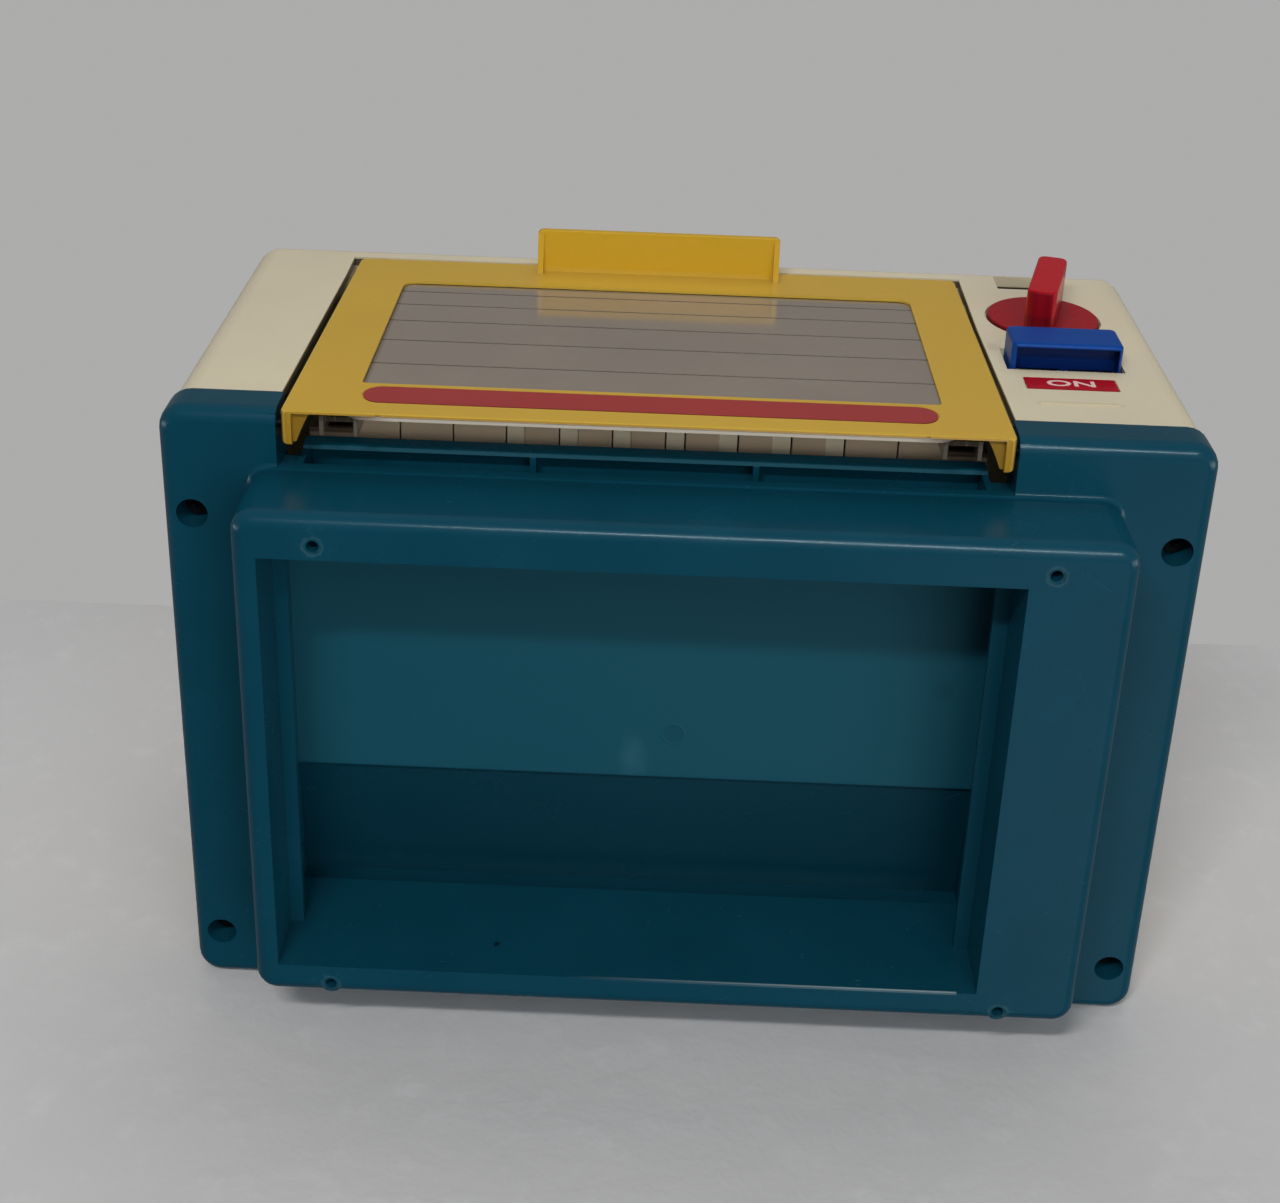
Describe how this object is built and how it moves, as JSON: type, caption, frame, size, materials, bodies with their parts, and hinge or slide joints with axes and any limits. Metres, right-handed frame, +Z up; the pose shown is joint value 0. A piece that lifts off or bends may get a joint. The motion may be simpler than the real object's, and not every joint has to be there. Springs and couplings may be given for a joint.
{
  "type": "toy microwave",
  "caption": "Toy microwave oven with a drop-down yellow door, smoked window, turning timer knob and sprung push button on a raised teal base.",
  "frame": {"origin": "bottom centre of the whole object's box, on the surface that the plinth rests on", "axes": "+X to the user's right, where the controls are; +Y towards the rear, so the door and controls face -Y; +Z up"},
  "size_m": [0.3, 0.2161, 0.17],
  "materials": {
    "teal_plastic": "moulded, soft sheen",
    "cream_plastic": "moulded, soft sheen, slightly yellowed",
    "liner_plastic": "matte moulded",
    "yellow_plastic": "moulded, glossy",
    "smoked_pane": "smoked, polished",
    "clear_plastic": "clear, slightly frosted",
    "banner_print": "matte dark red film",
    "red_plastic": "moulded, glossy",
    "blue_plastic": "moulded, glossy",
    "label_print": "satin red film",
    "white_plastic": "natural acetal",
    "black_steel": "blackened",
    "steel": "zinc plated"
  },
  "bodies": {
    "case": {"base_tray": "teal_plastic", "housing_shell": "cream_plastic", "oven_liner": "liner_plastic", "label_plate": "label_print", "mechanism_bracket": "white_plastic", "hinge_pin_left": "black_steel", "hinge_pin_right": "black_steel", "base_screw_front_left": "black_steel", "base_screw_front_right": "black_steel", "base_screw_rear_left": "black_steel", "base_screw_rear_right": "black_steel", "door_catch": "steel", "ratchet_spring": "steel", "bracket_screw_upper": "steel", "bracket_screw_lower": "steel", "button_spring": "steel", "liner_screw_left": "steel", "liner_screw_right": "steel"},
    "door": {"door_frame": "yellow_plastic", "window_pane": "smoked_pane", "pane_clip_left": "clear_plastic", "pane_clip_right": "clear_plastic", "door_banner": "banner_print"},
    "timer_knob": {"knob": "red_plastic", "ratchet_wheel": "white_plastic", "knob_washer": "steel", "knob_screw": "steel"},
    "push_button": {"button_cap": "blue_plastic", "button_retainer": "steel"}
  },
  "joints": [
    {"name": "door_hinge", "type": "hinge", "parent": "case", "child": "door", "pos_m": [-0.0112, -0.0865, 0.034], "axis": [1, 0, 0], "range_deg": [0, 90]},
    {"name": "knob_turn", "type": "hinge", "parent": "case", "child": "timer_knob", "pos_m": [0.1153, -0.0926, 0.125], "axis": [0, 1, 0], "continuous": true},
    {"name": "button_press", "type": "slide", "parent": "case", "child": "push_button", "axis": [0, 1, 0], "range_m": [0, 0.0035], "stiffness_N_per_m": 350, "springref_m": -0.002, "deforming": ["button_spring"]}
  ]
}
